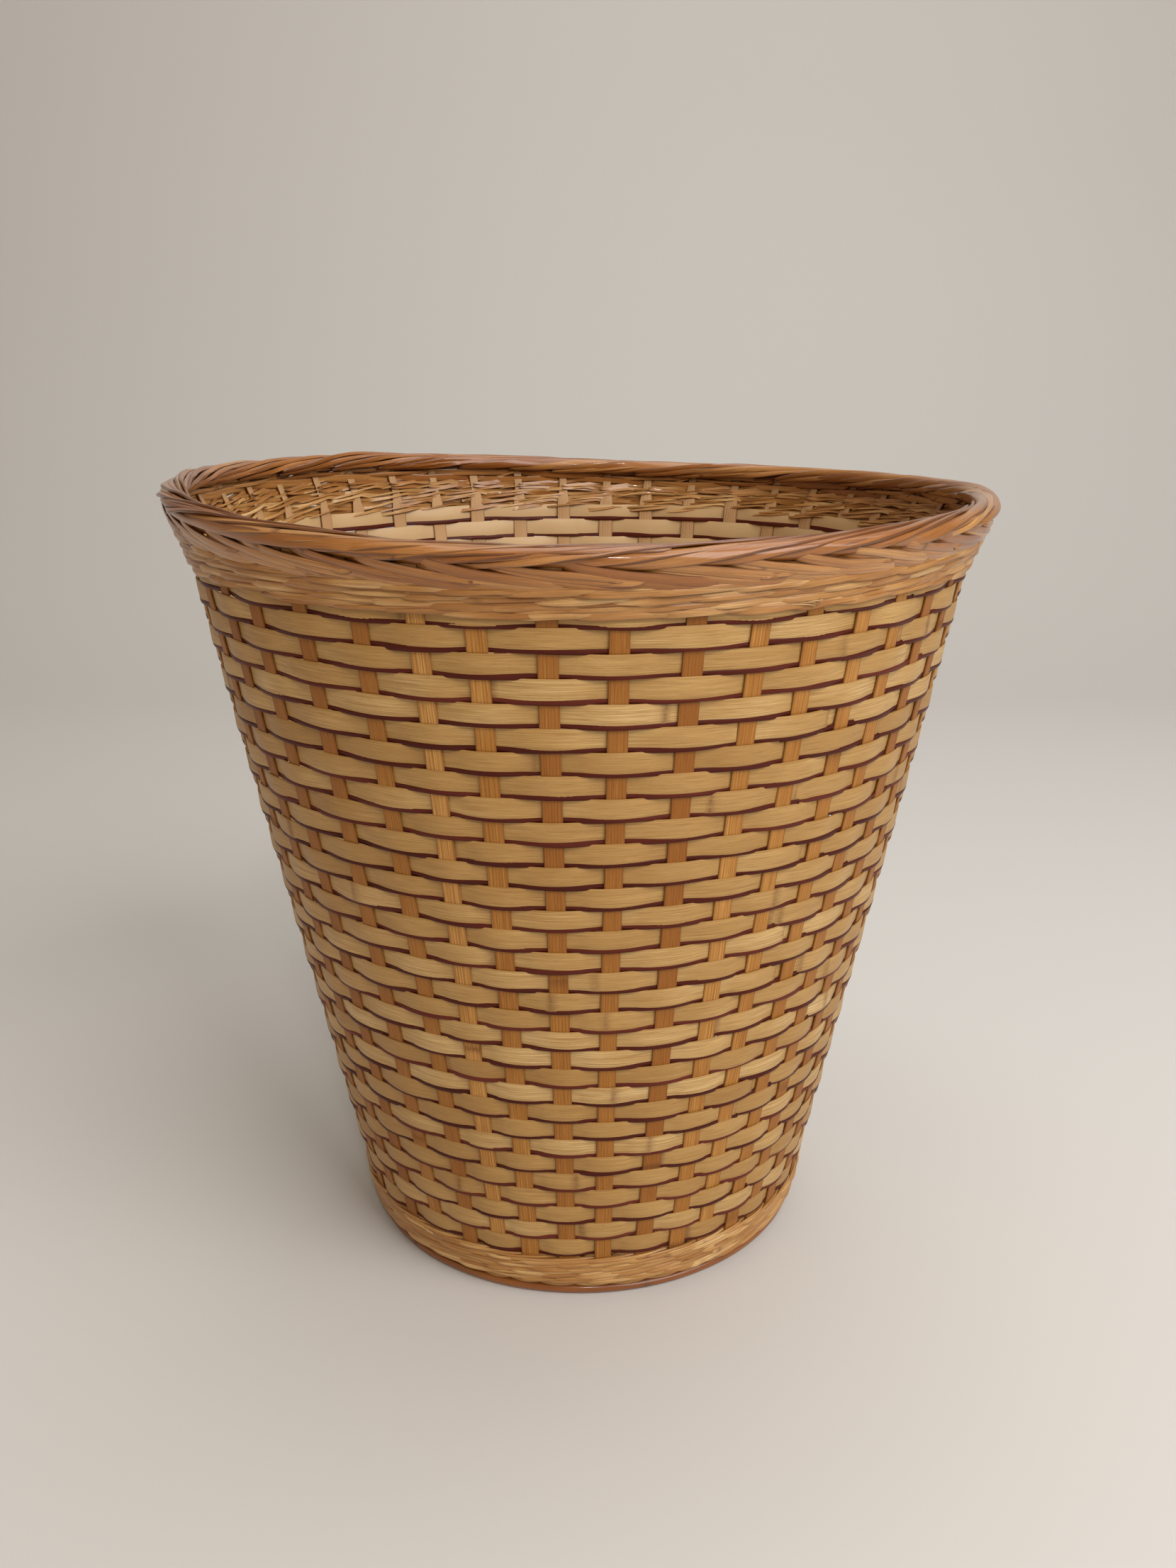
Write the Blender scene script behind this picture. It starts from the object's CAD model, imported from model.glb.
import math
import random

import bmesh
import bpy
import numpy as np
from mathutils import Matrix, Vector


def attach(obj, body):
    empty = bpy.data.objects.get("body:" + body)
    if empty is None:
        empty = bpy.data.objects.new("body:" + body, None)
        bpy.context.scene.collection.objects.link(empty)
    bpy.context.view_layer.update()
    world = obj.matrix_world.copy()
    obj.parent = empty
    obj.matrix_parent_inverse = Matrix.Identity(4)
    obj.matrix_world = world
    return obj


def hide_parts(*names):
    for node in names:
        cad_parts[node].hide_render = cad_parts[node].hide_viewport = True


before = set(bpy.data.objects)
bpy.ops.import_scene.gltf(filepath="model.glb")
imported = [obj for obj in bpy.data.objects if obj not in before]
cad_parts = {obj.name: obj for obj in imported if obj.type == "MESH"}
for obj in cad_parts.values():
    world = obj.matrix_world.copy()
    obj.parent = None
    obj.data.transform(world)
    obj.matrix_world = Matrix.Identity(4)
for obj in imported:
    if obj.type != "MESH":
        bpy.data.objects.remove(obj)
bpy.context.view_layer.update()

# ---------------------------------------------------------------------------
# The basket's own dimensions, in millimetres, close to the CAD parts'.
# ---------------------------------------------------------------------------
FOOT_R, WALL_R_270, WALL_BULGE = 90.6, 146.5, 0.72
RIM_R, RIM_Z, RIM_CORE = 152.0, 296.0, 4.0
RISE_FROM = 266.0
RIM_RISE = (-3.2, 1.7, 2.3, -1.3)
STAKES = 44
STAKE_W, STAKE_T = 6.6, 1.0
FRONT = [-46.7, -37.2, -27.8, -19.9, -12.5, -3.9, 4.5, 13.7, 22.2, 29.6, 38.0, 45.3, 53.4]
FIRST = -5
ROWS, ROW_Z0, ROW_PITCH = 32, 20.9, 8.10
WEAVER_W, WEAVER_T, WEAVER_GAP = 6.4, 0.6, 0.85
DARK_W, DARK_T = 1.4, 0.8
WAVE = 1.55
BASE_Z, MAT_PITCH, MAT_N, BEND_R = 4.6, 7.6, 5, 6.3
SLOPE = math.atan2(WALL_R_270 - FOOT_R, 270.0)

rnd = random.Random(7)
angles = {FIRST + i: a for i, a in enumerate(FRONT)}
last = FIRST + len(FRONT) - 1
left_over = STAKES - len(FRONT)
span = 360.0 + angles[FIRST] - angles[last]
for j in range(1, left_over + 1):
    angles[last + j] = angles[last] + span * j / (left_over + 1) + rnd.uniform(-0.35, 0.35)
ANG = np.array([angles[FIRST + i] for i in range(STAKES)])


def stake_angle(i):
    i = np.asarray(i)
    return ANG[(i - FIRST) % STAKES] + 360.0 * ((i - FIRST) // STAKES)


def angle_at(s):
    s = np.asarray(s, float)
    i = np.floor(s).astype(int)
    f = s - i
    p0, p1, p2, p3 = (stake_angle(i + d) for d in (-1, 0, 1, 2))
    m1, m2 = (p2 - p0) / 2, (p3 - p1) / 2
    return ((2 * f ** 3 - 3 * f * f + 1) * p1 + (f ** 3 - 2 * f * f + f) * m1
            + (-2 * f ** 3 + 3 * f * f) * p2 + (f ** 3 - f * f) * m2)


def smooth(t):
    t = np.clip(t, 0.0, 1.0)
    return t * t * (3 - 2 * t)


def wall_out(z):
    t = np.asarray(z, float) / 270.0
    return FOOT_R + (WALL_R_270 - FOOT_R) * t + WALL_BULGE * 4 * t * (1 - t)


def wall_mid(z):
    return wall_out(z) - WAVE - WEAVER_T / 2 + 4.6 * smooth((np.asarray(z, float) - 281.0) / 11.5)


def swing_at(z):
    """How far the splints swing either side of the stakes: less at the tight foot."""
    return 0.70 + 0.16 * np.asarray(z, float) / 280.0


def wall_line(z):
    """Middle line of the wall as woven, its outside on the same line as wall_out."""
    z = np.asarray(z, float)
    return wall_out(z) - swing_at(z) - WEAVER_T / 2 + 3.4 * smooth((z - 281.0) / 13.0)


def place(a_deg, r, z):
    a = np.radians(a_deg) - math.pi / 2
    c, s = np.cos(a), np.sin(a)
    c2, s2 = c * c - s * s, 2 * s * c
    k = smooth((z - RISE_FROM) / (RIM_Z - RISE_FROM))
    rise = RIM_RISE[0] * c + RIM_RISE[1] * s + RIM_RISE[2] * c2 + RIM_RISE[3] * s2
    dip = 1.5 * np.exp(-((np.mod(a_deg, 360.0) - 251.0) / 14.0) ** 2)
    return np.stack([r * c, r * s, z + k * (rise - dip)], -1)


# ---------------------------------------------------------------------------
# Mesh making: every splint is a closed strip with a shaped section.
# ---------------------------------------------------------------------------
def unit(v):
    return v / np.maximum(np.linalg.norm(v, axis=-1, keepdims=True), 1e-9)


def wobble(x, rng, lengths, amps):
    """Smooth unevenness along x: one slow wave for each length."""
    out = np.zeros_like(x, float)
    for l, a in zip(lengths, amps):
        out += a * np.sin(2 * math.pi * (x / l + rng.random()) + 0.7 * np.sin(2 * math.pi * (x / (l * 1.7) + rng.random())))
    return out


def flat_profile(n_face=5, crown=0.16, edge=0.10):
    """Section of a split splint: outer face lightly crowned, edges eased.
    Third number: 1 on the outer face, -1 on the inner, 0 on the edges."""
    a = np.linspace(-1 + edge, 1 - edge, n_face)
    outer = [(x, 1.0 - crown * x * x, 1.0) for x in a]
    inner = [(x, -1.0, -1.0) for x in (a[::-2] if n_face > 3 else a[::-1][[0, -1]])]
    return np.array([(-1.0, 0.35, 0.0)] + outer + [(1.0, 0.35, 0.0), (1.0, -0.6, 0.0)] + inner + [(-1.0, -0.6, 0.0)])


def rib_profile(ribs=5, deep=0.20):
    """Section of a stake: fine ribs along its outer face."""
    n = ribs * 2 + 1
    a = np.linspace(-0.93, 0.93, n)
    outer = [(x, 1.0 - (deep if i % 2 == 1 else 0.0) - 0.08 * x * x, 1.0) for i, x in enumerate(a)]
    return np.array([(-1.0, 0.4, 0.0)] + outer + [(1.0, 0.4, 0.0), (1.0, -0.7, 0.0), (0.88, -1.0, -1.0),
                    (0.0, -0.94, -1.0), (-0.88, -1.0, -1.0), (-1.0, -0.7, 0.0)])


def round_profile(n=8):
    t = np.linspace(0, 2 * math.pi, n, endpoint=False) + math.pi / n
    return np.stack([np.sin(t), np.cos(t), np.where(np.cos(t) > -0.2, 1.0, -1.0)], -1)


def bent_profile(n_face=7, bend=0.9, crown=0.10, edge=0.08):
    """A ribbon whose edges lie down towards what it is wrapped round."""
    a = np.linspace(-1 + edge, 1 - edge, n_face)
    outer = [(x, 1.0 - (bend + crown) * x * x, 1.0) for x in a]
    inner = [(x, -1.0 - bend * x * x, -1.0) for x in a[::-1]]
    return np.array([(-1.0, 0.2 - bend, 0.0)] + outer + [(1.0, 0.2 - bend, 0.0), (1.0, -0.5 - bend, 0.0)] + inner
                    + [(-1.0, -0.5 - bend, 0.0)])


FLAT = flat_profile()
BENT = bent_profile()
FLAT3 = flat_profile(3, 0.25, 0.16)
FULL = flat_profile(5, 0.75, 0.06)
RIB = rib_profile()
ROUND12 = round_profile(12)


class Piece:
    """Collects strips and makes one mesh object of them."""

    def __init__(self):
        self.v, self.quads, self.caps = [], [], []
        self.fib, self.tone, self.mark, self.face, self.side = [], [], [], [], []
        self.n = 0

    def strip(self, P, W, T, hw, ht, prof, tone=0.0, seed=0.0, mark=None, closed=False, taper=None):
        N, M = len(P), len(prof)
        hw = np.broadcast_to(np.asarray(hw, float), (N,)).copy()
        ht = np.broadcast_to(np.asarray(ht, float), (N,)).copy()
        if closed:
            tan = unit(np.roll(P, -1, 0) - np.roll(P, 1, 0))
        else:
            tan = unit(np.gradient(P, axis=0))
        T2 = unit(T - (T * tan).sum(-1, keepdims=True) * tan)
        W2 = unit(np.cross(tan, T2))
        flip = np.sign((W2 * W).sum(-1, keepdims=True))
        flip[flip == 0] = 1
        W2 = W2 * flip
        a, b = prof[:, 0], prof[:, 1]
        V = (P[:, None, :] + W2[:, None, :] * (hw[:, None] * a[None, :])[..., None]
             + T2[:, None, :] * (ht[:, None] * b[None, :])[..., None])
        step = np.linalg.norm(np.diff(P, axis=0), axis=1)
        length = np.concatenate([[0], np.cumsum(step)])
        fib = np.zeros((N, M, 3))
        fib[..., 0] = length[:, None] + seed * 977.0
        fib[..., 1] = hw[:, None] * a[None, :] + np.where(prof[:, 2] < 0, 31.0, 0.0)[None, :]
        fib[..., 2] = seed * 53.0
        m = np.zeros(N) if mark is None else mark
        tn = np.broadcast_to(np.asarray(tone, float), (N,))
        self.v.append(V.reshape(-1, 3))
        self.fib.append(fib.reshape(-1, 3))
        self.tone.append(np.repeat(tn, M))
        self.mark.append(np.repeat(m, M))
        self.face.append(np.tile(prof[:, 2], N))
        self.side.append(np.tile(np.abs(a), N))
        base = self.n
        i = np.arange(N if closed else N - 1)
        j = np.arange(M)
        I, J = np.meshgrid(i, j, indexing="ij")
        I2, J2 = (I + 1) % N, (J + 1) % M
        q = np.stack([I * M + J, I * M + J2, I2 * M + J2, I2 * M + J], -1).reshape(-1, 4) + base
        self.quads.append(q)
        if not closed:
            self.caps.append(np.arange(M)[::-1] + base)
            self.caps.append(np.arange(M) + (N - 1) * M + base)
        self.n += N * M
        return length

    def build(self, name, node, mat):
        v = np.concatenate(self.v) / 1000.0
        q = np.concatenate(self.quads)
        loops = [q.reshape(-1)]
        sizes = [np.full(len(q), 4)]
        for c in self.caps:
            loops.append(c)
            sizes.append(np.array([len(c)]))
        loops, sizes = np.concatenate(loops), np.concatenate(sizes)
        me = bpy.data.meshes.new(name)
        me.vertices.add(len(v))
        me.vertices.foreach_set("co", v.astype(np.float32).ravel())
        me.loops.add(len(loops))
        me.loops.foreach_set("vertex_index", loops.astype(np.int32))
        me.polygons.add(len(sizes))
        me.polygons.foreach_set("loop_start", np.concatenate([[0], np.cumsum(sizes)[:-1]]).astype(np.int32))
        me.update(calc_edges=True)
        me.validate()
        for label, kind, data in (("fib", "FLOAT_VECTOR", self.fib), ("tone", "FLOAT", self.tone),
                                  ("mark", "FLOAT", self.mark), ("face", "FLOAT", self.face),
                                  ("side", "FLOAT", self.side)):
            at = me.attributes.new(label, kind, "POINT")
            at.data.foreach_set("vector" if kind == "FLOAT_VECTOR" else "value",
                                np.concatenate(data).astype(np.float32).ravel())
        bm = bmesh.new()
        bm.from_mesh(me)
        bmesh.ops.recalc_face_normals(bm, faces=bm.faces)
        bm.to_mesh(me)
        bm.free()
        me.shade_smooth()
        ob = bpy.data.objects.new(name, me)
        bpy.context.scene.collection.objects.link(ob)
        sharp = math.radians(50)
        me.set_sharp_from_angle(angle=sharp)
        me.materials.append(mat)
        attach(ob, "root")
        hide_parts(node)
        return ob


def wall_frame(a_deg, tilt):
    """Width and thickness directions at an angle, for a section turned by tilt
    from upright towards the outside."""
    a = np.radians(a_deg) - math.pi / 2
    er = np.stack([np.cos(a), np.sin(a), np.zeros_like(a)], -1)
    ez = np.zeros_like(er)
    ez[:, 2] = 1.0
    t = np.broadcast_to(np.asarray(tilt, float), a.shape)[:, None]
    W = er * np.sin(t) + ez * np.cos(t)
    T = er * np.cos(t) - ez * np.sin(t)
    return W, T


# ---------------------------------------------------------------------------
# Materials: bamboo splint in each of its finishes, all from nodes.
# ---------------------------------------------------------------------------
def splint_material(name, light, base, deep, knot, inner=None, fibre=0.35, ribs=0.0,
                    rough=0.42, coat=0.35, coat_rough=0.18, bump=0.35, blotch=0.5, edge_dark=0.35,
                    seam=0.25, spec=0.35):
    m = bpy.data.materials.new(name)
    m.use_nodes = True
    nt = m.node_tree
    N, L = nt.nodes, nt.links
    for n in list(N):
        N.remove(n)
    out = N.new("ShaderNodeOutputMaterial")
    p = N.new("ShaderNodeBsdfPrincipled")
    L.new(p.outputs[0], out.inputs[0])

    def attr(label):
        n = N.new("ShaderNodeAttribute")
        n.attribute_name = label
        return n

    def math_node(op, a, b=None, clamp=False):
        n = N.new("ShaderNodeMath")
        n.operation = op
        n.use_clamp = clamp
        for i, x in enumerate((a, b)):
            if x is None:
                continue
            if isinstance(x, (int, float)):
                n.inputs[i].default_value = x
            else:
                L.new(x, n.inputs[i])
        return n.outputs[0]

    def mix(fac, a, b, mode="MIX"):
        n = N.new("ShaderNodeMix")
        n.data_type = "RGBA"
        n.blend_type = mode
        n.clamp_factor = True
        if isinstance(fac, (int, float)):
            n.inputs[0].default_value = fac
        else:
            L.new(fac, n.inputs[0])
        for i, x in ((6, a), (7, b)):
            if isinstance(x, tuple):
                n.inputs[i].default_value = (*x, 1.0)
            else:
                L.new(x, n.inputs[i])
        return n.outputs[2]

    def ramp(x, stops):
        n = N.new("ShaderNodeValToRGB")
        L.new(x, n.inputs[0])
        e = n.color_ramp.elements
        while len(e) > 1:
            e.remove(e[-1])
        e[0].position, e[0].color = stops[0][0], (stops[0][1],) * 3 + (1,)
        for pos, val in stops[1:]:
            k = e.new(pos)
            k.color = (val,) * 3 + (1,)
        return n.outputs[0]

    fib, tone, mark, face, side = attr("fib"), attr("tone"), attr("mark"), attr("face"), attr("side")

    def noise(scale_vec, detail=3.0, rough_=0.55, distort=0.0):
        mp = N.new("ShaderNodeMapping")
        mp.inputs["Scale"].default_value = scale_vec
        L.new(fib.outputs["Vector"], mp.inputs["Vector"])
        n = N.new("ShaderNodeTexNoise")
        n.inputs["Scale"].default_value = 1.0
        n.inputs["Detail"].default_value = detail
        n.inputs["Roughness"].default_value = rough_
        n.inputs["Distortion"].default_value = distort
        L.new(mp.outputs[0], n.inputs["Vector"])
        return n.outputs["Fac"]

    long_blotch = noise((0.022, 0.05, 1.0), 2.0)          # slow change along the splint
    streak = noise((0.035, 2.6, 1.0), 4.0, 0.62)          # fibre bundles
    fine = noise((0.10, 9.0, 1.0), 3.0, 0.6)              # single fibres
    speck = noise((0.55, 1.7, 1.0), 2.0, 0.5)             # pores and flecks

    t = math_node("ADD", math_node("MULTIPLY", long_blotch, blotch), tone.outputs["Fac"])
    t = math_node("ADD", t, -0.5 * blotch)
    body = mix(ramp(math_node("ADD", t, 0.5), [(0.0, 0.0), (0.5, 0.5), (1.0, 1.0)]), deep, base)
    body = mix(ramp(math_node("ADD", t, 0.0), [(0.05, 0.0), (0.6, 1.0)]), body, light)
    streak_r = ramp(streak, [(0.30, 0.0), (0.50, 0.45), (0.72, 1.0)])
    body = mix(math_node("MULTIPLY", math_node("SUBTRACT", 1.0, streak_r), fibre), body, deep)
    fine_r = ramp(fine, [(0.36, 1.0), (0.48, 0.0)])
    body = mix(math_node("MULTIPLY", fine_r, fibre * 0.55), body, knot)
    fine_l = ramp(fine, [(0.60, 0.0), (0.74, 1.0)])
    body = mix(math_node("MULTIPLY", fine_l, fibre * 0.5), body, light)
    if ribs:
        sep = N.new("ShaderNodeSeparateXYZ")
        L.new(fib.outputs["Vector"], sep.inputs[0])
        wander = noise((0.011, 0.9, 1.0), 2.0, 0.5)
        wave = math_node("SINE", math_node("ADD", math_node("MULTIPLY", sep.outputs["Y"], 2 * math.pi / 1.05),
                                           math_node("MULTIPLY", wander, 9.0)))
        rib = math_node("MULTIPLY", math_node("ADD", wave, 1.0), 0.5)
        rib = math_node("MULTIPLY", rib, ramp(noise((0.02, 1.7, 1.0), 2.0, 0.5), [(0.32, 0.15), (0.66, 1.0)]))
        body = mix(math_node("MULTIPLY", rib, ribs), body, deep)
    else:
        rib = None
    # edges, where the knife has opened the darker fibre
    sepf = math_node("ABSOLUTE", face.outputs["Fac"])
    edge = ramp(sepf, [(0.35, 1.0), (0.8, 0.0)])
    body = mix(math_node("MULTIPLY", edge, edge_dark), body, deep)
    line = ramp(side.outputs["Fac"], [(0.78, 0.0), (0.97, 1.0)])
    body = mix(math_node("MULTIPLY", line, seam), body, knot)
    # knots: the culm's joints and cut ends
    kf = math_node("MULTIPLY", mark.outputs["Fac"], math_node("ADD", math_node("MULTIPLY", speck, 1.3), 0.1), True)
    body = mix(kf, body, knot)
    fleck = ramp(speck, [(0.66, 0.0), (0.74, 1.0)])
    body = mix(math_node("MULTIPLY", fleck, 0.22), body, knot)
    if inner is not None:
        back = ramp(face.outputs["Fac"], [(0.0, 0.0), (0.02, 0.0)])
        lt = math_node("LESS_THAN", face.outputs["Fac"], -0.3)
        body = mix(math_node("MULTIPLY", lt, 0.86), body, inner)
    L.new(body, p.inputs["Base Color"])

    r = math_node("ADD", math_node("MULTIPLY", streak, 0.22), rough - 0.11)
    r = math_node("ADD", r, math_node("MULTIPLY", mark.outputs["Fac"], 0.15))
    L.new(r, p.inputs["Roughness"])
    p.inputs["Coat Weight"].default_value = coat
    p.inputs["Coat Roughness"].default_value = coat_rough
    p.inputs["Specular IOR Level"].default_value = spec

    h = math_node("ADD", math_node("MULTIPLY", streak, 0.6), math_node("MULTIPLY", fine, 0.5))
    if rib is not None:
        h = math_node("SUBTRACT", h, math_node("MULTIPLY", rib, 0.8))
    h = math_node("ADD", h, math_node("MULTIPLY", mark.outputs["Fac"], math_node("MULTIPLY", speck, 1.2)))
    b = N.new("ShaderNodeBump")
    b.inputs["Strength"].default_value = bump
    b.inputs["Distance"].default_value = 0.00022
    L.new(h, b.inputs["Height"])
    L.new(b.outputs[0], p.inputs["Normal"])
    return m


PALE = splint_material("pale_splint_varnished", (0.77, 0.555, 0.265), (0.665, 0.43, 0.160), (0.365, 0.19, 0.048),
                       (0.17, 0.068, 0.018), inner=(0.56, 0.37, 0.185), fibre=0.95, rough=0.50, coat=0.20, coat_rough=0.24,
                       seam=0.14, spec=0.30, blotch=0.75)
DARK = splint_material("dark_splint_dyed", (0.18, 0.035, 0.019), (0.110, 0.017, 0.008), (0.055, 0.008, 0.004),
                       (0.03, 0.006, 0.002), fibre=0.5, rough=0.42, coat=0.05, blotch=0.9, edge_dark=0.1, spec=0.10)
STAKE = splint_material("stake_splint_ribbed", (0.80, 0.45, 0.135), (0.66, 0.325, 0.066), (0.29, 0.10, 0.014),
                        (0.12, 0.036, 0.006), inner=(0.48, 0.285, 0.135), fibre=0.80, ribs=0.72, rough=0.52,
                        coat=0.06, bump=0.7, blotch=0.9, seam=0.4, spec=0.22)
BORDER = splint_material("border_splint_glossy", (0.62, 0.325, 0.105), (0.48, 0.20, 0.043), (0.26, 0.083, 0.014),
                         (0.09, 0.025, 0.006), fibre=0.80, rough=0.40, coat=0.60, coat_rough=0.09, blotch=1.0, seam=0.7)
TWINE = splint_material("twining_splint_thin", (0.76, 0.50, 0.215), (0.63, 0.345, 0.110), (0.33, 0.130, 0.026),
                        (0.11, 0.036, 0.009), fibre=0.78, rough=0.46, coat=0.34, coat_rough=0.11, blotch=1.0, seam=0.6)
FOOT = splint_material("foot_splint_thin", (0.77, 0.52, 0.22), (0.65, 0.38, 0.125), (0.36, 0.155, 0.036),
                       (0.14, 0.05, 0.012), fibre=0.76, rough=0.46, coat=0.2, blotch=1.0, seam=0.45)
HOOP = splint_material("foot_hoop_cane", (0.46, 0.19, 0.050), (0.34, 0.115, 0.022), (0.19, 0.055, 0.010),
                       (0.08, 0.02, 0.006), fibre=0.5, rough=0.32, coat=0.5, coat_rough=0.12, blotch=0.9, spec=0.3)


def knots(length, rng, gap=(150, 260), width=1.3, first=None):
    """Where the culm's joints fall along a splint: 1 at a joint, 0 elsewhere."""
    m = np.zeros_like(length)
    x = rng.uniform(10, gap[1]) if first is None else first
    while x < length[-1]:
        m = np.maximum(m, np.exp(-((length - x) / width) ** 2) * rng.uniform(0.6, 1.0))
        x += rng.uniform(*gap)
    return m


# ---------------------------------------------------------------------------
# The wall: 32 rows
# ---------------------------------------------------------------------------
row_wob = {}


def row_path(k, s, z_mid, extra_r=0.0, dz=0.0):
    """Middle line of a row: outside one stake, inside the next."""
    if k not in row_wob:
        g = np.random.default_rng(500 + k)
        row_wob[k] = ((0.061 * k, 0.043 * k), g.uniform(0.95, 1.12, 60), g.uniform(-0.13, 0.13, 60))
    ph, amp, lift = row_wob[k]
    i = np.floor(s + 0.5).astype(int) % 60
    f = s + 0.5 - np.floor(s + 0.5)
    j = (i + 1) % 60
    a_here = amp[i]
    drop = lift[i] * np.sin(math.pi * f)
    z = z_mid + 0.26 * np.sin(2 * math.pi * (s / 44.0 * 3 + ph[0])) + 0.20 * np.sin(2 * math.pi * (s / 44.0 * 7 + ph[1])) + drop + dz
    w = np.cos(math.pi * (s + k))
    shape = np.sign(w) * np.abs(w) ** (0.64 + 0.30 * z_mid / 280.0)
    r = wall_line(z_mid) + swing_at(z_mid) * shape * a_here + extra_r
    return angle_at(s), r, z


ends = {}
for k in range(ROWS):
    g = np.random.default_rng(100 + k)
    # the splint starts behind a stake near the front right and ends over or past its own start
    base_s = int(g.integers(2, 6)) if k % 3 else int(g.integers(8, 30))
    if (base_s + k) % 2 == 0:
        base_s += 1
    ends[k] = (base_s, g)

for k in range(ROWS):
    base_s, g = ends[k]
    z_dark = ROW_Z0 + ROW_PITCH * k
    width = 7.10 if k < ROWS - 1 else 6.2
    z_mid = z_dark + 0.48 + width * math.cos(SLOPE) / 2
    over = 2.0
    s0 = base_s - 0.34
    s1 = base_s + STAKES + over + (0.36 if k % 2 else -0.25)
    s = np.arange(s0, s1, 1 / 11.0)
    start = 1 - smooth((s - s0 - over) / 0.8)
    stop = smooth((s - (s1 - over - 0.6)) / 0.8)
    a, r, z = row_path(k, s, z_mid, 0.36 * stop - 0.30 * start, 0.25 * stop - 0.05 * start)
    P = place(a, r, z)
    L = np.concatenate([[0], np.cumsum(np.linalg.norm(np.diff(P, axis=0), axis=1))])
    mk = knots(L, g)
    hw = (width / 2) * (1 + wobble(L, g, (330, 120, 47), (0.014, 0.010, 0.010)) + 0.045 * mk
                        + g.uniform(-0.012, 0.018))
    ht = 0.88 * WEAVER_T / 2 * (1 + 0.5 * mk + wobble(L, g, (90,), (0.08,)))
    end_mark = np.exp(-(L / 1.0) ** 2) + np.exp(-((L[-1] - L) / 1.0) ** 2)
    tilt = SLOPE - 0.05 + wobble(s, g, (9.3, 3.1), (0.02, 0.025)) - 0.03 * np.cos(math.pi * (s + k))
    W, T = wall_frame(a, tilt)
    tone = 0.22 * g.normal() + wobble(L, g, (260, 700, 47), (0.10, 0.10, 0.09))
    pc = Piece()
    pc.strip(P, W, T, hw, ht, FLAT, tone, g.random() * 9, np.clip(mk + 0.6 * end_mark, 0, 1))
    pc.build("woven_row_%02d" % (k + 1), "weaver_row_%02d" % (k + 1), PALE)

for g0 in range(0, ROWS, 4):
    pc = Piece()
    for k in range(g0, g0 + 4):
        base_s, _ = ends[k]
        g = np.random.default_rng(900 + k)
        s0, s1 = base_s - 0.3 + 1, base_s + STAKES + 2.4
        s = np.arange(s0, s1, 1 / 9.0)
        start = 1 - smooth((s - s0 - 1.4) / 0.8)
        stop = smooth((s - (s1 - 2.0)) / 0.8)
        a, r, z = row_path(k, s, ROW_Z0 + ROW_PITCH * k + 0.06, 0.12 + 0.35 * stop - 0.3 * start, 0.15 * stop)
        z = z + wobble(s, g, (9.7, 4.3, 2.2), (0.10, 0.13, 0.07))
        P = place(a, r, z)
        L = np.concatenate([[0], np.cumsum(np.linalg.norm(np.diff(P, axis=0), axis=1))])
        hw = 0.90 * (1 + wobble(L, g, (150, 61, 29), (0.13, 0.13, 0.10)))
        W, T = wall_frame(a, SLOPE + wobble(s, g, (5.0,), (0.10,)))
        pc.strip(P, W, T, hw, DARK_T / 2, FLAT3, 0.2 * g.normal(), g.random() * 9,
                 0.8 * (np.exp(-(L / 1.0) ** 2) + np.exp(-((L[-1] - L) / 1.0) ** 2)))
    name = "rows_%02d_%02d" % (g0 + 1, g0 + 4)
    pc.build("dark_lines_" + name, "dark_splints_" + name, DARK)


# ---------------------------------------------------------------------------
# Twining
# ---------------------------------------------------------------------------
def flat_wave(s, flat=0.30):
    i = np.floor(s)
    f = s - i
    sign = np.where(i.astype(int) % 2 == 0, 1.0, -1.0)
    mid = np.cos(math.pi * np.clip((f - flat) / (1 - 2 * flat), 0, 1))
    return sign * mid


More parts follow.
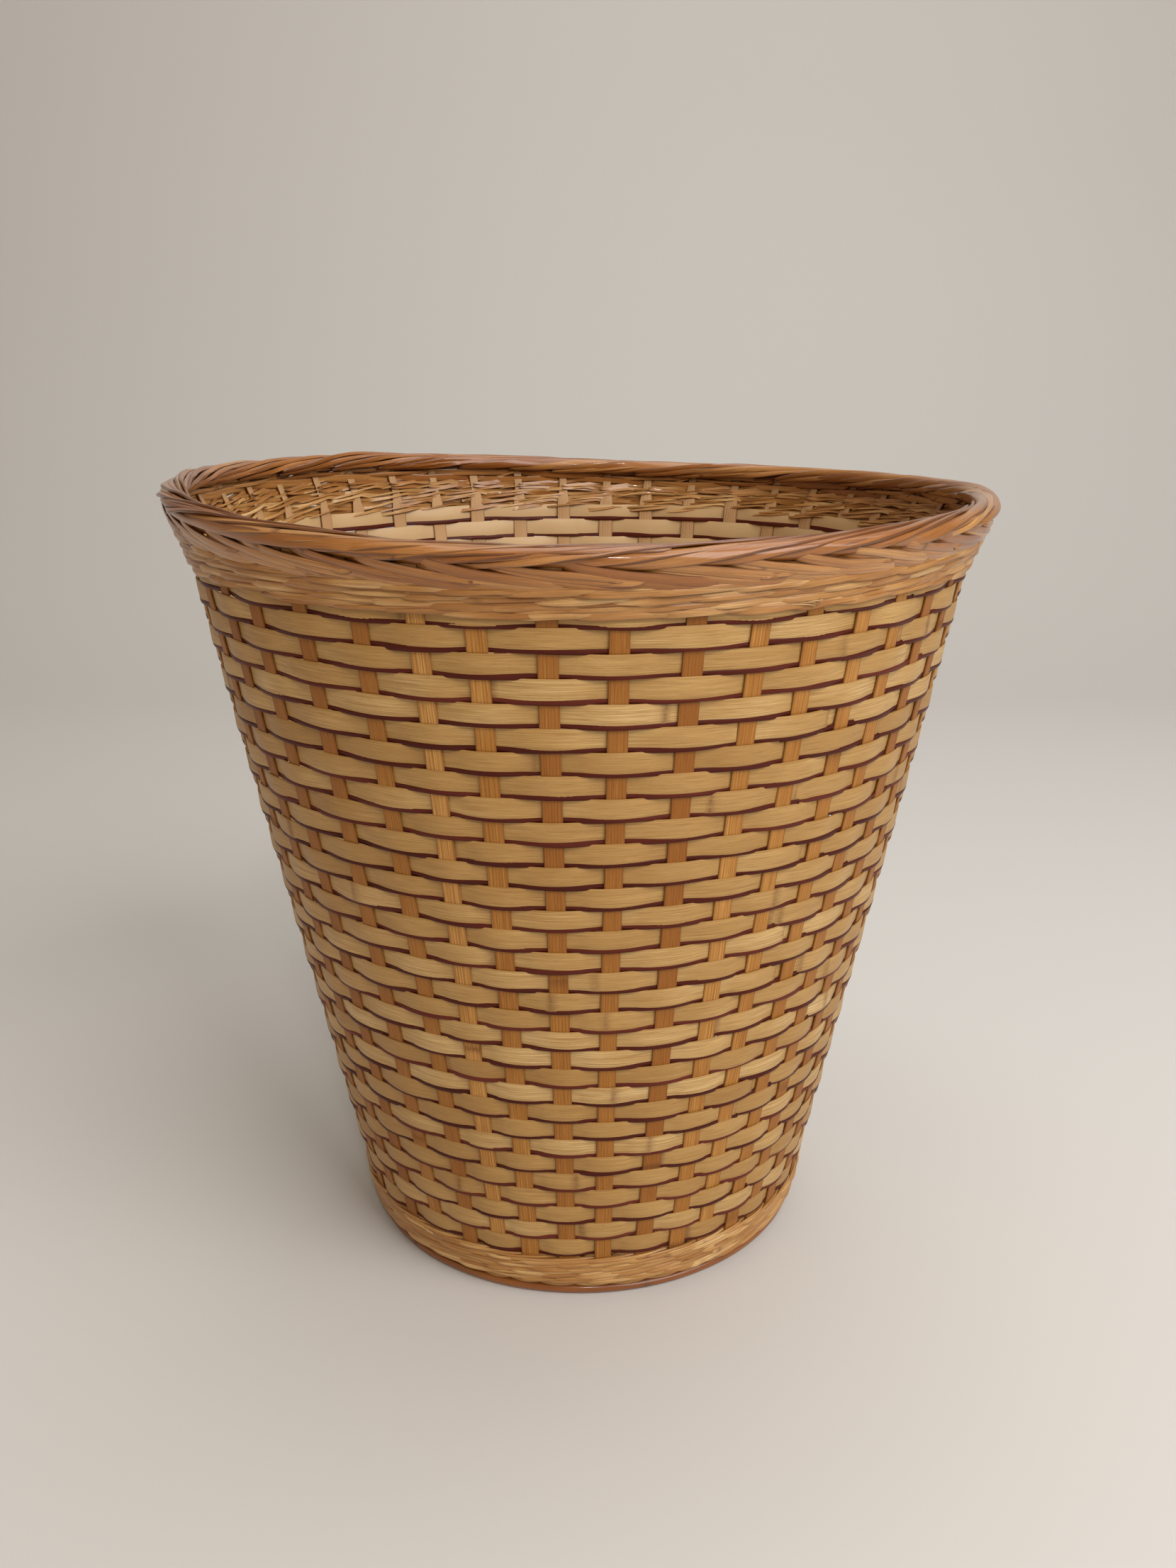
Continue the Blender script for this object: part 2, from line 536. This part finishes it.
def twine_rows(name, node, z0, phase, mat, swing, out, lift, pair, half_w, half_t, seed, per=8, frayed=()):
    """One row: three strands of thin shavings. Each strand climbs outside two
    stakes, then goes inside the third, under the next strand."""
    pc = Piece()
    g = np.random.default_rng(seed)
    n = STAKES * per
    for strand in range(3):
        for q in (-0.5, 0.5):
            start = int(g.integers(0, STAKES))
            s = start + np.arange(n + int(1.6 * per)) / per
            x = np.mod(s + phase + strand + 0.10 * np.sin(2 * math.pi * (s / 44.0 * 2 + g.random())), 3.0)
            # x = 0: inside a stake; x = 1 and 2: outside one
            near = np.minimum(x, 3.0 - x)
            c = 1.0 - 2.0 * np.exp(-(near / 0.50) ** 2.6)
            climb = np.where((x > 0.40) & (x < 2.60), (x - 1.5) / 1.1, 0.0)
            turn = np.where(x <= 0.40, -x / 0.40, np.where(x >= 2.60, (3.0 - x) / 0.40, climb))
            roam = wobble(s, g, (7.3, 3.7, 2.1), (0.26, 0.20, 0.10))
            r = wall_line(z0) + out + swing * c - 0.28 * turn * (c > 0) + 0.16 * q + 0.14 * roam
            z = z0 + lift * turn + pair * q * (0.72 + 0.28 * np.abs(c)) + roam * half_w * 0.5
            stop = smooth((s - s[-1] + 1.6) / 0.5) - (1 - smooth((s - s[0] - 1.4) / 0.5))
            r = r + 0.35 * stop * half_t
            a = angle_at(s)
            P = place(a, r, z)
            L = np.concatenate([[0], np.cumsum(np.linalg.norm(np.diff(P, axis=0), axis=1))])
            hw = half_w * (1.14 if q < 0 else 0.66) * (1 + wobble(L, g, (90, 47, 23), (0.18, 0.14, 0.08)))
            hw = hw * (0.50 + 0.56 * smooth((near - 0.20) / 0.60))
            W, T = wall_frame(a, SLOPE - 0.26 * np.clip(c, -0.5, 1) + wobble(s, g, (3.9, 2.3), (0.18, 0.16)) - 0.18 * q)
            pc.strip(P, W, T, hw, half_t * (1 + wobble(L, g, (43,), (0.12,))), FULL,
                     0.20 * g.normal() + wobble(L, g, (110, 37), (0.28, 0.18)), g.random() * 9,
                     knots(L, g, (130, 320), 1.0))
    # a broken end: split fibres that stand a little off the wall
    for at in frayed:
        for _ in range(9):
            t = np.linspace(0, 1, 12)
            run = g.uniform(2.2, 4.4)
            a = at + run * (t - 1) + g.uniform(-0.5, 0.9)
            r = wall_line(z0) + out + swing + 0.2 + g.uniform(0.3, 1.5) * t ** 1.6
            z = z0 - 0.2 + g.uniform(-0.7, 0.8) + g.uniform(-1.3, 1.8) * t ** 2
            W, T = wall_frame(a, SLOPE + g.uniform(-0.5, 0.5))
            pc.strip(place(a, r, z), W, T, g.uniform(0.22, 0.48) * (1 - 0.5 * t), 0.16, FLAT3, 0.3 + 0.2 * g.normal(),
                     g.random() * 9, 0.5 * t ** 3)
    return pc.build(name, node, mat)


for j, z in enumerate((8.6, 11.6, 14.6, 17.6)):
    twine_rows("foot_weave_%d" % (j + 1), "foot_twining_%d" % (j + 1), z, 0.31 * j, FOOT,
               1.10, 0.30, 0.90, 1.35, 0.88, 0.52, 40 + j)
for j, z in enumerate((277.7, 280.6, 283.5, 286.4)):
    twine_rows("top_weave_%d" % (j + 1), "top_twining_%d" % (j + 1), z, 0.37 * j, TWINE,
               1.42, 0.42 + 0.14 * j, 1.05, 1.50, 1.06, 0.58, 60 + j, frayed=(28.5,) if j == 0 else ())

# rounds of the base
pc = Piece()
g = np.random.default_rng(77)
for j, rj in enumerate((67.5, 71.3, 75.1, 78.9)):
    for sign in (1, -1):
        s = np.arange(STAKES * 9) / 9
        fw = flat_wave(s + j, 0.34)
        r = rj + sign * 0.75 * np.sin(math.pi * (s + j)) + wobble(s / 44.0, g, (0.5, 0.25), (0.0, 0.0))
        z = BASE_Z + sign * 1.12 * fw
        a = angle_at(s)
        P = place(a, r, z)
        ar = np.radians(a) - math.pi / 2
        W = np.stack([np.cos(ar), np.sin(ar), 0 * ar], -1)
        T = np.tile(np.array([0.0, 0.0, 1.0]), (len(a), 1))
        pc.strip(P, W, T, 0.95, 0.42, FLAT3, 0.2 * g.normal(), g.random() * 9, closed=True)
pc.build("base_rounds", "base_twining", FOOT)

# two-strand rope over the bend of the stakes
pc = Piece()
g = np.random.default_rng(78)
for sign in (1, -1):
    for q in (-0.5, 0.5):
        s = np.arange(STAKES * 9) / 9
        ph = math.pi * s + 0.25 * q
        r = 90.45 + sign * 0.62 * np.cos(ph)
        z = 5.95 + sign * 0.80 * np.sin(ph) + q * 0.75
        a = angle_at(s)
        P = place(a, r, z)
        W, T = wall_frame(a, 0.15 + 0.2 * np.sin(ph))
        pc.strip(P, W, T, 0.85 * (1 + 0.1 * np.sin(2 * math.pi * s / 4)), 0.46, FLAT3,
                 0.2 * g.normal(), g.random() * 9, closed=True)
pc.build("foot_rope_strands", "foot_rope", FOOT)

# hoop: one cane rod with its ends cut on a long slant where they meet
pc = Piece()
g = np.random.default_rng(79)
s = np.linspace(0, 1, 400)
a = 205 + s * (360 + 16)
r = 88.5 + 0.25 * np.sin(2 * math.pi * (s * 3 + 0.2)) + 1.1 * (smooth((s - 0.955) / 0.04)) - 0.9 * (1 - smooth(s / 0.045))
zc = 2.02 + 0 * s
P = place(a, r, zc)
W, T = wall_frame(a, 0.0)
taper = np.minimum(smooth(s / 0.03), smooth((1 - s) / 0.03)) * 0.8 + 0.2
L = np.concatenate([[0], np.cumsum(np.linalg.norm(np.diff(P, axis=0), axis=1))])
pc.strip(P, W, T, 2.0 * (0.85 + 0.15 * taper), 2.5 * taper * (1 + wobble(L, g, (80, 33), (0.03, 0.02))), ROUND12,
         wobble(L, g, (160, 60), (0.15, 0.1)), 3.0, knots(L, g, (90, 180), 1.6))
pc.build("foot_ring_cane", "foot_hoop", HOOP)


# ---------------------------------------------------------------------------
# Long splints: up one wall, across the base, up the other
# ---------------------------------------------------------------------------
CENTRE = [0, 11, 22, 33]
Q0 = 1


def half_path(q, i, kind):
    stake = Q0 + CENTRE[q] + i
    a_end = float(stake_angle(stake))
    d = math.radians(float(stake_angle(Q0)) + 90.0 * q - 90.0)
    dv = np.array([math.cos(d), math.sin(d)])
    lat = np.array([-dv[1], dv[0]])
    u = MAT_PITCH * i
    pts = []
    hold = BASE_Z
    for m in range(0, MAT_N + 1):
        over = 1 if (i + m + kind) % 2 == 0 else -1
        xy = dv * MAT_PITCH * m + lat * u
        hold = BASE_Z + 0.56 * over
        pts.append((*xy, hold))
    xy = dv * (MAT_PITCH * MAT_N + 4.2) + lat * u
    pts.append((*xy, BASE_Z + (hold - BASE_Z) * 0.9))
    e = math.radians(a_end - 90.0)
    for r, keep in ((59.5, 0.25), (64.5, 0.0), (69.5, 0.0), (75.0, 0.0), (79.5, 0.0), (82.5, 0.0)):
        pts.append((r * math.cos(e), r * math.sin(e), BASE_Z + (hold - BASE_Z) * keep))
    for deg in (0, 25, 50, 72):
        t = math.radians(deg)
        r = 84.4 + BEND_R * math.sin(t) - 0.1 * (deg / 72.0)
        pts.append(tuple(place(np.array(a_end), r, BASE_Z + BEND_R * (1 - math.cos(t)))))
    z = 14.0
    g = np.random.default_rng(2000 + stake % STAKES)
    drift = g.uniform(-0.5, 0.5, 2)
    while z < 278.0:
        da = drift[0] * math.sin(math.pi * z / 290) + drift[1] * math.sin(2 * math.pi * z / 290)
        pts.append(tuple(place(np.array(a_end + da * 0.5), float(wall_line(z)), z)))
        z += 15.0
    for z in (281.0, 284.0, 287.0, 290.0, 293.0, 296.0):
        pts.append(tuple(place(np.array(a_end), float(wall_line(z)), z)))
    return np.array(pts)


def catmull(pts, n_per):
    """Even, smooth line through points, n_per millimetres to a step."""
    d = np.linalg.norm(np.diff(pts, axis=0), axis=1)
    t = np.concatenate([[0], np.cumsum(d)])
    m = np.gradient(pts, t, axis=0)
    n = int(t[-1] / n_per)
    x = np.linspace(0, t[-1], n)
    i = np.clip(np.searchsorted(t, x, side="right") - 1, 0, len(t) - 2)
    h = (t[i + 1] - t[i])
    f = ((x - t[i]) / h)[:, None]
    h = h[:, None]
    return ((2 * f ** 3 - 3 * f * f + 1) * pts[i] + (f ** 3 - 2 * f * f + f) * h * m[i]
            + (-2 * f ** 3 + 3 * f * f) * pts[i + 1] + (f ** 3 - f * f) * h * m[i + 1])


def long_splint(pc, q_a, q_b, i, kind, seed):
    g = np.random.default_rng(seed)
    a, b = half_path(q_a, i, kind), half_path(q_b, -i, kind)
    line = catmull(np.concatenate([b[::-1], a[1:]]), 2.4)
    n = len(line)
    tan = unit(np.gradient(line, axis=0))
    head = tan.copy()
    head[:, 2] = 0
    wall = (np.abs(tan[:, 2]) > 0.8) | (np.linalg.norm(head, axis=1) < 0.3)
    out = line.copy()
    out[:, 2] = 0
    out[: n // 2] *= -1
    head[wall] = out[wall]
    head = unit(head)
    side = np.stack([-head[:, 1], head[:, 0], np.zeros(n)], -1)
    inward = unit(np.cross(tan, side))          # up on the base, inwards on the walls
    L = np.concatenate([[0], np.cumsum(np.linalg.norm(np.diff(line, axis=0), axis=1))])
    mk = knots(L, g, (170, 290), 1.5)
    hw = STAKE_W / 2 * (1 + wobble(L, g, (210, 80, 33), (0.02, 0.015, 0.01)) + 0.03 * mk + g.uniform(-0.05, 0.03))
    hw = hw * (1 - 0.42 * smooth((line[:, 2] - 278.0) / 10.0))
    tone = 0.24 * g.normal() + wobble(L, g, (400, 130), (0.12, 0.06)) - 0.25 * smooth((line[:, 2] - 280.0) / 8.0)
    pc.strip(line, side, -inward, hw, 0.36 * (1 + 0.35 * mk), RIB, tone, g.random() * 9, mk)


for name, node, qa, qb, kind in (("stakes_front_back", "long_splints_front_back", 0, 2, 0),
                                 ("stakes_left_right", "long_splints_left_right", 1, 3, 1)):
    pc = Piece()
    for i in range(-MAT_N, MAT_N + 1):
        long_splint(pc, qa, qb, i, kind, 3000 + 50 * kind + i)
    pc.build(name, node, STAKE)


# ---------------------------------------------------------------------------
# Border
# ---------------------------------------------------------------------------
def bundle(pc, s, r, z, ang, half_w, half_t, g, subs, spread, tone0, prof=FLAT3, splay=0.0):
    """Flat strands lying side by side. ang is the way the flat face looks, in
    the plane of radius and height."""
    nr, nz = np.cos(ang), np.sin(ang)
    wr, wz = -nz, nr
    a = angle_at(s)
    ar = np.radians(a) - math.pi / 2
    er = np.stack([np.cos(ar), np.sin(ar), 0 * ar], -1)
    ez = np.tile(np.array([0.0, 0.0, 1.0]), (len(a), 1))
    T = er * nr[:, None] + ez * nz[:, None]
    W = er * wr[:, None] + ez * wz[:, None]
    for q in range(subs):
        side = q - (subs - 1) / 2
        off = side * spread * half_w * 2 + wobble(s, g, (2.9, 1.3), (0.16, 0.07)) + splay * side * np.linspace(-1, 1, len(s))
        up = 0.12 * side + wobble(s, g, (2.2,), (0.10,)) * half_t
        P = place(a, r + wr * off + nr * up, z + wz * off + nz * up)
        L = np.concatenate([[0], np.cumsum(np.linalg.norm(np.diff(P, axis=0), axis=1))])
        ends_ = np.minimum(smooth(L / 6.0), smooth((L[-1] - L) / 3.0)) * 0.45 + 0.55
        hw = half_w * (1 + wobble(L, g, (60, 23), (0.10, 0.06))) * ends_
        pc.strip(P, W, T, hw, half_t * (1 + wobble(L, g, (31,), (0.10,))), prof,
                 tone0 + 0.12 * g.normal() + wobble(L, g, (90,), (0.10,)), g.random() * 9,
                 np.clip(knots(L, g, (140, 400), 1.1) + 0.7 * np.exp(-((L[-1] - L) / 1.2) ** 2), 0, 1))


ROLL_R, ROLL_Z, ROLL_A, ROLL_B = 151.8, 296.9, 3.75, 2.5
phi_line = np.radians(np.linspace(-80.0, 222.0, 400))
arc_line = np.concatenate([[0], np.cumsum(np.hypot(np.diff(ROLL_A * np.cos(phi_line)), np.diff(ROLL_B * np.sin(phi_line))))])
arc_line /= arc_line[-1]

pc = Piece()
for j in range(STAKES):
    g = np.random.default_rng(4000 + j)
    n = 84
    wrap = 7.4 + g.uniform(-0.5, 0.6)
    u = np.linspace(0, wrap, n)
    w = u / wrap
    phi = np.interp(w, arc_line, phi_line)
    loose = math.exp(-((float(np.mod(angle_at(np.array(j + 3.7)), 360.0)) - 228.0) / 38.0) ** 2)
    slack = 0.20 + g.uniform(-0.15, 0.3) + loose * g.choice((-0.35, 0.15, 0.75)) + wobble(u, g, (4.3, 2.3), (0.18, 0.12))
    tuck = 1.3 * (1 - smooth(w / 0.10)) + 1.0 * smooth((w - 0.92) / 0.08)
    r = ROLL_R + (ROLL_A + slack - 0.5 * tuck) * np.cos(phi)
    z = ROLL_Z + (ROLL_B + slack) * np.sin(phi) + 0.8 * (1 - smooth(w / 0.10))
    nrm = np.arctan2(np.sin(phi) / ROLL_B, np.cos(phi) / ROLL_A)
    nrm = np.unwrap(nrm)
    lean = 0.34 * smooth(w / 0.15) * smooth((1 - w) / 0.15) + wobble(u, g, (5.3,), (0.08,))
    fine = math.exp(-((float(np.mod(angle_at(np.array(j + 3.7)), 360.0)) - 122.0) / 62.0) ** 2)
    two = g.random() < 0.25 + 0.75 * loose + 0.45 * fine
    tone = 0.30 * g.normal()
    if two:
        bundle(pc, j + u, r, z, nrm + lean, 1.12 - 0.16 * loose, 0.50, g, 2, 0.98 + 0.22 * loose, tone)
    else:
        bundle(pc, j + u, r, z, nrm + lean, 1.95 + g.uniform(-0.45, 0.55), 0.50, g, 1, 1.0, tone, BENT)
# the strand laid on last, round the front, with its cut end on top of the roll
g = np.random.default_rng(4100)
s_a = float(np.interp(-63.0, angle_at(np.arange(-8, 3, 0.01)), np.arange(-8, 3, 0.01)))
s_b = float(np.interp(9.6, angle_at(np.arange(-8, 3, 0.01)), np.arange(-8, 3, 0.01)))
u = np.linspace(s_a, s_b, 90)
w = (u - s_a) / (s_b - s_a)
phi = np.radians(-30 + 92 * smooth(w * 0.9 + 0.05))
r = ROLL_R + (ROLL_A + 0.75) * np.cos(phi)
z = ROLL_Z + (ROLL_B + 0.62) * np.sin(phi) - 0.3 * (1 - w)
bundle(pc, u, r, z, np.arctan2(np.sin(phi) / ROLL_B, np.cos(phi) / ROLL_A) + 0.05, 2.15, 0.42, g, 1, 1.0, 0.12, BENT)
# the stakes' ends, shaved thin, laid along the inside under the roll: each
# passes inside one stake and behind the two beside it
for i in range(STAKES):
    g = np.random.default_rng(4200 + i)
    lo, hi = i - 0.22 + g.uniform(-0.1, 0.1), i + 2.16 + g.uniform(-0.1, 0.16)
    u = np.linspace(lo, hi, 34)
    f = (u - i) / 2
    front = np.sin(math.pi * np.clip(f, 0, 1)) ** 0.7
    z0 = (290.1 if i % 2 else 293.0) + g.uniform(-0.4, 0.4) + (f - 0.5) * g.uniform(-1.2, 1.6) + wobble(u, g, (2.1,), (0.18,))
    r = wall_line(291.4) + 0.95 - 2.0 * front + 0.3 * (i % 2)
    tone = 0.34 + 0.24 * g.normal()
    if g.random() < 0.35:
        for q in (-1, 1):
            bundle(pc, u, r + 0.1 * q, z0 + q * 0.95 * (1 + 0.2 * f), np.full(34, 0.15 + math.pi), 0.85, 0.36, g, 1, 1.0,
                   tone + 0.15 * q)
    else:
        bundle(pc, u, r, z0, np.full(34, 0.15 + math.pi), 1.70 + g.uniform(-0.25, 0.2), 0.38, g, 1, 1.0, tone, FLAT)
pc.build("border_roll_strands", "border_roll", BORDER)

pc = Piece()
for j in range(STAKES):
    g = np.random.default_rng(5000 + j)
    n = 52
    reach = 2.45 + g.uniform(-0.15, 0.25)
    u = np.linspace(-0.42, reach, n)
    w = (u + 0.42) / (reach + 0.42)
    z = 287.1 + 7.5 * (1 - w) ** 1.9 + g.uniform(-0.3, 0.3) + wobble(u, g, (2.1,), (0.12,))
    r = 151.6 + 3.0 * (1 - w) - 1.7 * (1 - smooth(w / 0.16)) - 2.8 * smooth((w - 0.68) / 0.32) + 0.5 * np.sin(math.pi * w)
    ang = np.radians(-14 + 8 * w) - 0.24
    tone = 0.32 + 0.20 * float(np.clip(g.normal(), -1.4, 1.8))
    m = 3 if g.random() < 0.35 else 2
    hw0 = 0.96 if m == 3 else 1.48
    # the shavings of a bundle lie fanned at its start and close up as it flattens
    nr, nz = np.cos(ang), np.sin(ang)
    for q in range(m):
        side = q - (m - 1) / 2
        fan = side * hw0 * 2 * (0.94 - 0.42 * smooth((w - 0.45) / 0.55)) + wobble(u, g, (2.7,), (0.14,))
        bundle(pc, j + 0.5 + u, r - nz * fan + nr * 0.12 * side, z + nr * fan, ang + 0.12 * side,
               hw0 * 1.08 * (1 - 0.62 * smooth((w - 0.66) / 0.34)), 0.52, g, 1, 1.0, tone + 0.07 * g.normal(), FULL)
pc.build("border_slant_strands", "border_slant_row", BORDER)


# ---------------------------------------------------------------------------
# Floor, light and camera
# ---------------------------------------------------------------------------
def stage_material():
    m = bpy.data.materials.new("studio_floor")
    m.use_nodes = True
    nt = m.node_tree
    p = nt.nodes["Principled BSDF"]
    n = nt.nodes.new("ShaderNodeTexNoise")
    n.inputs["Scale"].default_value = 3.0
    r = nt.nodes.new("ShaderNodeValToRGB")
    r.color_ramp.elements[0].color = (0.60, 0.58, 0.55, 1)
    r.color_ramp.elements[1].color = (0.66, 0.64, 0.61, 1)
    nt.links.new(n.outputs["Fac"], r.inputs[0])
    nt.links.new(r.outputs[0], p.inputs["Base Color"])
    p.inputs["Roughness"].default_value = 0.65
    return m


me = bpy.data.meshes.new("floor")
bm = bmesh.new()
# floor that curves up into a backdrop far behind
prof = [(-2.5, 0.0), (0.9, 0.0)]
for t in np.linspace(0, math.pi / 2, 14)[1:]:
    prof.append((0.9 + 0.7 * math.sin(t), 0.7 * (1 - math.cos(t))))
prof.append((1.6, 3.0))
rows = [[bm.verts.new((x, y, z)) for x in (-4.0, 4.0)] for y, z in prof]
for a_, b_ in zip(rows[:-1], rows[1:]):
    bm.faces.new((a_[0], a_[1], b_[1], b_[0]))
bm.to_mesh(me)
bm.free()
me.shade_smooth()
floor = bpy.data.objects.new("floor", me)
bpy.context.scene.collection.objects.link(floor)
me.materials.append(stage_material())


def area(name, loc, target, size, power, color):
    d = bpy.data.lights.new(name, "AREA")
    d.shape = "RECTANGLE"
    d.size, d.size_y = size
    d.energy = power
    d.color = color
    o = bpy.data.objects.new(name, d)
    bpy.context.scene.collection.objects.link(o)
    o.location = loc
    o.rotation_euler = (Vector(target) - Vector(loc)).to_track_quat("-Z", "Y").to_euler()
    return o


area("key", (1.05, -1.1, 1.25), (0, 0, 0.16), (1.4, 1.4), 31.5, (1.0, 0.98, 0.97))
area("fill", (-1.5, -0.9, 0.8), (0, 0, 0.15), (1.2, 1.2), 2.7, (1.0, 0.56, 0.18))
area("front", (0.10, -1.55, 1.45), (0, 0, 0.22), (0.20, 0.20), 6.2, (1.0, 0.97, 0.92))
area("top", (0.2, 0.30, 1.7), (0, 0, 0.2), (1.3, 1.3), 11.0, (0.97, 0.99, 1.0))

world = bpy.data.worlds.new("studio")
bpy.context.scene.world = world
world.use_nodes = True
bg = world.node_tree.nodes["Background"]
bg.inputs[0].default_value = (0.94, 0.85, 0.73, 1)
bg.inputs[1].default_value = 0.25

# viewpoint: fitted to the outlines of the rim, foot and walls
CAM_D, CAM_H, PITCH, YAW, ROLL, F_PX = 0.5543615, 0.3472609, 0.2943, 0.0049, -0.0035, 1982.6931
cp, sp, cy, sy = math.cos(PITCH), math.sin(PITCH), math.cos(YAW), math.sin(YAW)
fwd = Vector((sy * cp, cy * cp, -sp))
right = Vector((cy, -sy, 0.0))
up = right.cross(fwd)
r2 = right * math.cos(ROLL) + up * math.sin(ROLL)
u2 = up * math.cos(ROLL) - right * math.sin(ROLL)
cam_data = bpy.data.cameras.new("camera")
cam_data.sensor_fit = "AUTO"
cam_data.sensor_width = 36.0
cam_data.lens = F_PX / 2212.0 * 36.0
cam_data.clip_start = 0.01
cam = bpy.data.objects.new("camera", cam_data)
bpy.context.scene.collection.objects.link(cam)
rot = Matrix((r2, u2, -fwd)).transposed()
cam.matrix_world = Matrix.Translation((0.0, -CAM_D, CAM_H)) @ rot.to_4x4()
bpy.context.scene.camera = cam
bpy.context.scene.view_settings.view_transform = "Standard"
